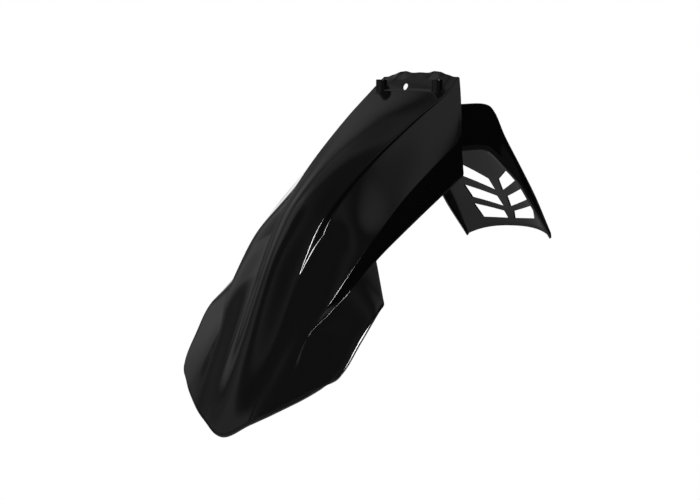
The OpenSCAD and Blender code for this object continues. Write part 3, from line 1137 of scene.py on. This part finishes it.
@dataclass(frozen=True)
class GlossBlackPlastic:
    """Black polypropylene as it leaves a polished mould.

    Attributes:
        colour: colour of the plastic.
        dust_colour: colour of dust and of rubbed edges.
        roughness: roughness of the polished skin.
        scuffed: roughness of its duller patches.
        ior: refractive index of the plastic.
        bump_mm: depth of the skin's relief in millimetres.
        bump_strength: how much of that relief shows.
        edge_wear: how far an edge takes on the lighter colour.
    """

    colour: Point = (0.02, 0.02, 0.022)
    dust_colour: Point = (0.05, 0.05, 0.049)
    roughness: float = 0.08
    scuffed: float = 0.13
    ior: float = 1.5
    bump_mm: float = 0.02
    bump_strength: float = 0.35
    edge_wear: float = 0.12

    def material(self) -> bpy.types.Material:
        """Makes the material.

        Returns:
            A material whose roughness, colour and bump come from the skin's group.
        """
        material = bpy.data.materials.new("gloss_black_plastic")
        tree, shader = nodes_of(material)
        place = add_node(tree, "TexCoord", {})["Object"]
        skin = add_node(tree, "Group", {"Position": place}, node_tree=MouldSkin().group())
        worn = maths(tree, "MULTIPLY_ADD", skin["Edge"], self.edge_wear, skin["Dust"], clamp=True)
        # a Mix node takes numbers in its inputs 2 and 3 and colours in 6 and 7
        gloss = {0: skin["Gloss Mask"], 2: self.roughness, 3: self.scuffed}
        tint = {0: worn, 6: (*self.colour, 1.0), 7: (*self.dust_colour, 1.0)}
        relief = {"Strength": self.bump_strength, "Distance": self.bump_mm * MM}
        results = {
            "Roughness": add_node(tree, "Mix", gloss)[0],
            "Base Color": add_node(tree, "Mix", tint, data_type="RGBA")[2],
            "Normal": add_node(tree, "Bump", {**relief, "Height": skin["Height"]})["Normal"],
        }
        for name, result in results.items():
            tree.links.new(result, shader.inputs[name])
        shader.inputs["IOR"].default_value = self.ior
        return material


class Boolean(Enum):
    """What a solid does to the mudguard's body."""

    ADD = "UNION"
    CUT = "DIFFERENCE"


@dataclass
class Mudguard:
    """The whole moulding as one piece.

    Attributes:
        sizes: its sizes.
        finish: its material.
        smooth_deg: angle above which an edge stays sharp.
        name: name of the piece.
    """

    sizes: Sizes = field(default_factory=Sizes)
    finish: GlossBlackPlastic = field(default_factory=GlossBlackPlastic)
    smooth_deg: float = 32
    name: str = "mudguard_shell"

    def combine(self, body: bpy.types.Object, tool: Mesh, how: Boolean, name: str) -> None:
        """Adds a solid to the body or cuts it away, and removes the helper object.

        Args:
            body: object that is changed.
            tool: the solid.
            how: whether it is added or cut away.
            name: name of the helper object.
        """
        helper = tool.to_object(name)
        step = body.modifiers.new(name, "BOOLEAN")
        step.operation = how.value
        step.solver = "MANIFOLD"
        step.object = helper
        graph = bpy.context.evaluated_depsgraph_get()
        made = bpy.data.meshes.new_from_object(body.evaluated_get(graph))
        body.modifiers.clear()
        body.data = made
        LOG.info("%s: %d faces", name, len(made.polygons))
        bpy.data.objects.remove(helper)

    def build(self) -> bpy.types.Object:
        """Builds and dresses the piece.

        Returns:
            The object that stands for CAD node mudguard.
        """
        body = FrontShell(self.sizes).build().to_object(self.name)
        self.combine(body, TailShell(self.sizes).build(), Boolean.ADD, "tail")
        self.combine(body, ForkWalls(self.sizes).build(), Boolean.ADD, "fork_walls")
        self.combine(body, Bosses(self.sizes).build(), Boolean.ADD, "bosses")
        self.combine(body, Cutters(self.sizes).build(), Boolean.CUT, "cutters")
        data = body.data
        data.name = self.name
        data.shade_smooth()
        data.set_sharp_from_angle(angle=math.radians(self.smooth_deg))
        data.materials.clear()
        data.materials.append(self.finish.material())
        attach(body, "root")
        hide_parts("mudguard")
        return body


def stand(obj: bpy.types.Object, place: Vector, way: Vector) -> bpy.types.Object:
    """Links an object at a place, looking against way."""
    obj.location = place
    obj.rotation_mode = "QUATERNION"
    obj.rotation_quaternion = (-way).to_track_quat("-Z", "Y")
    bpy.context.scene.collection.objects.link(obj)
    return obj


@dataclass(frozen=True)
class SoftLight:
    """A soft area light that faces the object and shows in its gloss only.

    Attributes:
        name: name of the light.
        way: direction from the object to the light.
        distance: distance of the light in metres.
        size: its width and height in metres.
        radiance: how bright it looks, where 1 is white.
        middle: the point that it faces, in metres.
    """

    name: str
    way: Point
    distance: float
    size: Span
    radiance: float
    middle: Point = (0.0, -0.1, -0.15)

    def build(self) -> bpy.types.Object:
        """Makes the light."""
        data = bpy.data.lights.new(self.name, "AREA")
        data.shape = "RECTANGLE"
        data.size, data.size_y = self.size
        data.energy = self.radiance * math.pi * self.size[0] * self.size[1]
        obj = bpy.data.objects.new(self.name, data)
        obj.visible_diffuse = False
        way = Vector(self.way).normalized()
        return stand(obj, Vector(self.middle) + way * self.distance, way)


@dataclass(frozen=True)
class RoomTone:
    """A round part of the room that is lighter or darker than the rest, with a soft border.

    Attributes:
        azimuth: its direction in degrees, from +Y toward +X.
        height: its angle above the horizon in degrees.
        inner: half angle inside which it is full.
        outer: half angle outside which it has ended.
        change: how much it adds to the room's brightness.
    """

    azimuth: float
    height: float
    inner: float
    outer: float
    change: float

    def way(self) -> Vector:
        """Its direction as a unit vector."""
        a, e = math.radians(self.azimuth), math.radians(self.height)
        return Vector((math.cos(e) * math.sin(a), math.cos(e) * math.cos(a), math.sin(e)))


@dataclass
class Studio:
    """Pale floor, white backdrop and soft light.

    Attributes:
        floor_z: height of the floor in metres.
        floor_half: half the side of the floor.
        floor_glow: brightness of the floor in reflections.
        floor_dim: brightness of its part behind the object in reflections.
        floor_way: direction in which the one turns into the other.
        floor_span: distances along it, in metres, between which that happens.
        floor_colour: grey of the floor to the light.
        floor_rough: roughness of the floor.
        ambient: brightness of the room that the object sees.
        tones: lighter and darker parts of the room, as the camera sees it, in turn: two
            black cloths at the right, a soft box high behind, three pale screens in front
            and a dark gap above them, four soft boxes at the left, a pale ceiling on that
            side and a dark gap behind it.
        edge_strip: the bright light at the right that draws the creases.
    """

    floor_z: float = -0.3745
    floor_half: float = 3.0
    floor_glow: float = 0.42
    floor_dim: float = 0.04
    floor_way: Point = (0.35, 0.94, 0.0)
    floor_span: Span = (0.15, 0.45)
    floor_colour: float = 0.6
    floor_rough: float = 0.9
    ambient: float = 0.06
    tones: tuple[RoomTone, ...] = (
        RoomTone(52, -3, 26, 40, -0.3),
        RoomTone(75, 33, 10, 20, -0.1),
        RoomTone(46, 60, 5, 20, 0.27),
        RoomTone(199, 35, 30, 62, 0.15),
        RoomTone(222, 35, 4, 16, 0.1),
        RoomTone(249, 56, 8, 22, 0.24),
        RoomTone(187, 57, 10, 26, -0.15),
        RoomTone(283, 27, 3, 20, 0.25),
        RoomTone(304, 14, 2, 14, 0.03),
        RoomTone(326, 4, 5, 16, 1.15),
        RoomTone(303, 34, 4, 16, 0.1),
        RoomTone(292, 63, 6, 20, 0.13),
        RoomTone(335, 56, 4, 18, -0.12),
    )
    edge_strip: SoftLight = SoftLight("edge_strip", (0.83, -0.24, 0.5), 2.5, (0.4, 0.92), 32.0)

    def build_world(self) -> None:
        """The room: grey, with its lighter and darker parts added, and white to the camera."""
        world = bpy.data.worlds.new("studio")
        bpy.context.scene.world = world
        world.use_nodes = True
        tree = world.node_tree
        room = tree.nodes["Background"]
        room.inputs["Color"].default_value = (1, 1, 1, 1)
        place = add_node(tree, "TexCoord", {})["Generated"]
        total = self.ambient
        for tone in self.tones:
            reach = along(tree, place, tone.way())
            border = [math.cos(math.radians(a)) for a in (tone.outer, tone.inner)]
            change = ramp(tree, reach, border, (0, tone.change), smooth=True)
            total = maths(tree, "ADD", total, change)
        total = maths(tree, "MAXIMUM", total, 0.0)
        tree.links.new(total, room.inputs["Strength"])
        white_to_camera(tree, room.outputs[0])

    def build_floor(self) -> bpy.types.Object:
        """The floor, pale to the light and white to the camera."""
        half = self.floor_half
        square = np.array([[-half, -half], [half, -half], [half, half], [-half, half]])
        corners = np.c_[square, np.full(4, self.floor_z)]
        floor = Mesh(corners / MM, [[0, 1, 2, 3]]).to_object("floor")
        material = bpy.data.materials.new("pale_floor")
        tree, shader = nodes_of(material)
        shader.inputs["Base Color"].default_value = (*[self.floor_colour] * 3, 1)
        shader.inputs["Roughness"].default_value = self.floor_rough
        away = along(tree, add_node(tree, "TexCoord", {})["Object"], self.floor_way)
        glow = ramp(tree, away, self.floor_span, (self.floor_glow, self.floor_dim), smooth=True)
        white_to_camera(tree, shader.outputs[0], glow)
        floor.data.materials.append(material)
        return floor

    def build(self) -> None:
        """Builds the studio."""
        self.build_world()
        self.build_floor()
        self.edge_strip.build()
        bpy.context.scene.view_settings.view_transform = "Standard"


@dataclass
class PhotoCamera:
    """The photograph's camera.

    Attributes:
        azimuth: angle round the object in degrees.
        pitch: angle above the horizon in degrees.
        distance: from the aim point, in millimetres.
        aim: point at the middle of the picture, in millimetres.
        focal_px: focal length in pixels of the picture.
        width_px: width of the picture.
    """

    azimuth: float = 35.0
    pitch: float = 3.6
    distance: float = 3100.0
    aim: Point = (0.0, -117.7, -189.0)
    focal_px: float = 2790.0
    width_px: float = 700.0

    def build(self) -> bpy.types.Object:
        """Makes the camera and sets it as the scene's."""
        data = bpy.data.cameras.new("camera")
        data.sensor_width = 36.0
        data.lens = self.focal_px / self.width_px * data.sensor_width
        a, e = math.radians(self.azimuth), math.radians(self.pitch)
        back = Vector((math.sin(a) * math.cos(e), -math.cos(a) * math.cos(e), math.sin(e)))
        data.clip_start, data.clip_end = 0.1, 100
        place = (Vector(self.aim) + back * self.distance) * MM
        obj = stand(bpy.data.objects.new("camera", data), place, back)
        bpy.context.scene.camera = obj
        return obj


def main() -> None:
    """Builds the mudguard, the studio and the camera."""
    logging.basicConfig(level=logging.INFO, format="%(name)s: %(message)s")
    piece = Mudguard().build()
    LOG.info("%s: %d faces", piece.name, len(piece.data.polygons))
    Studio().build()
    PhotoCamera().build()


if __name__ == "__main__":
    main()
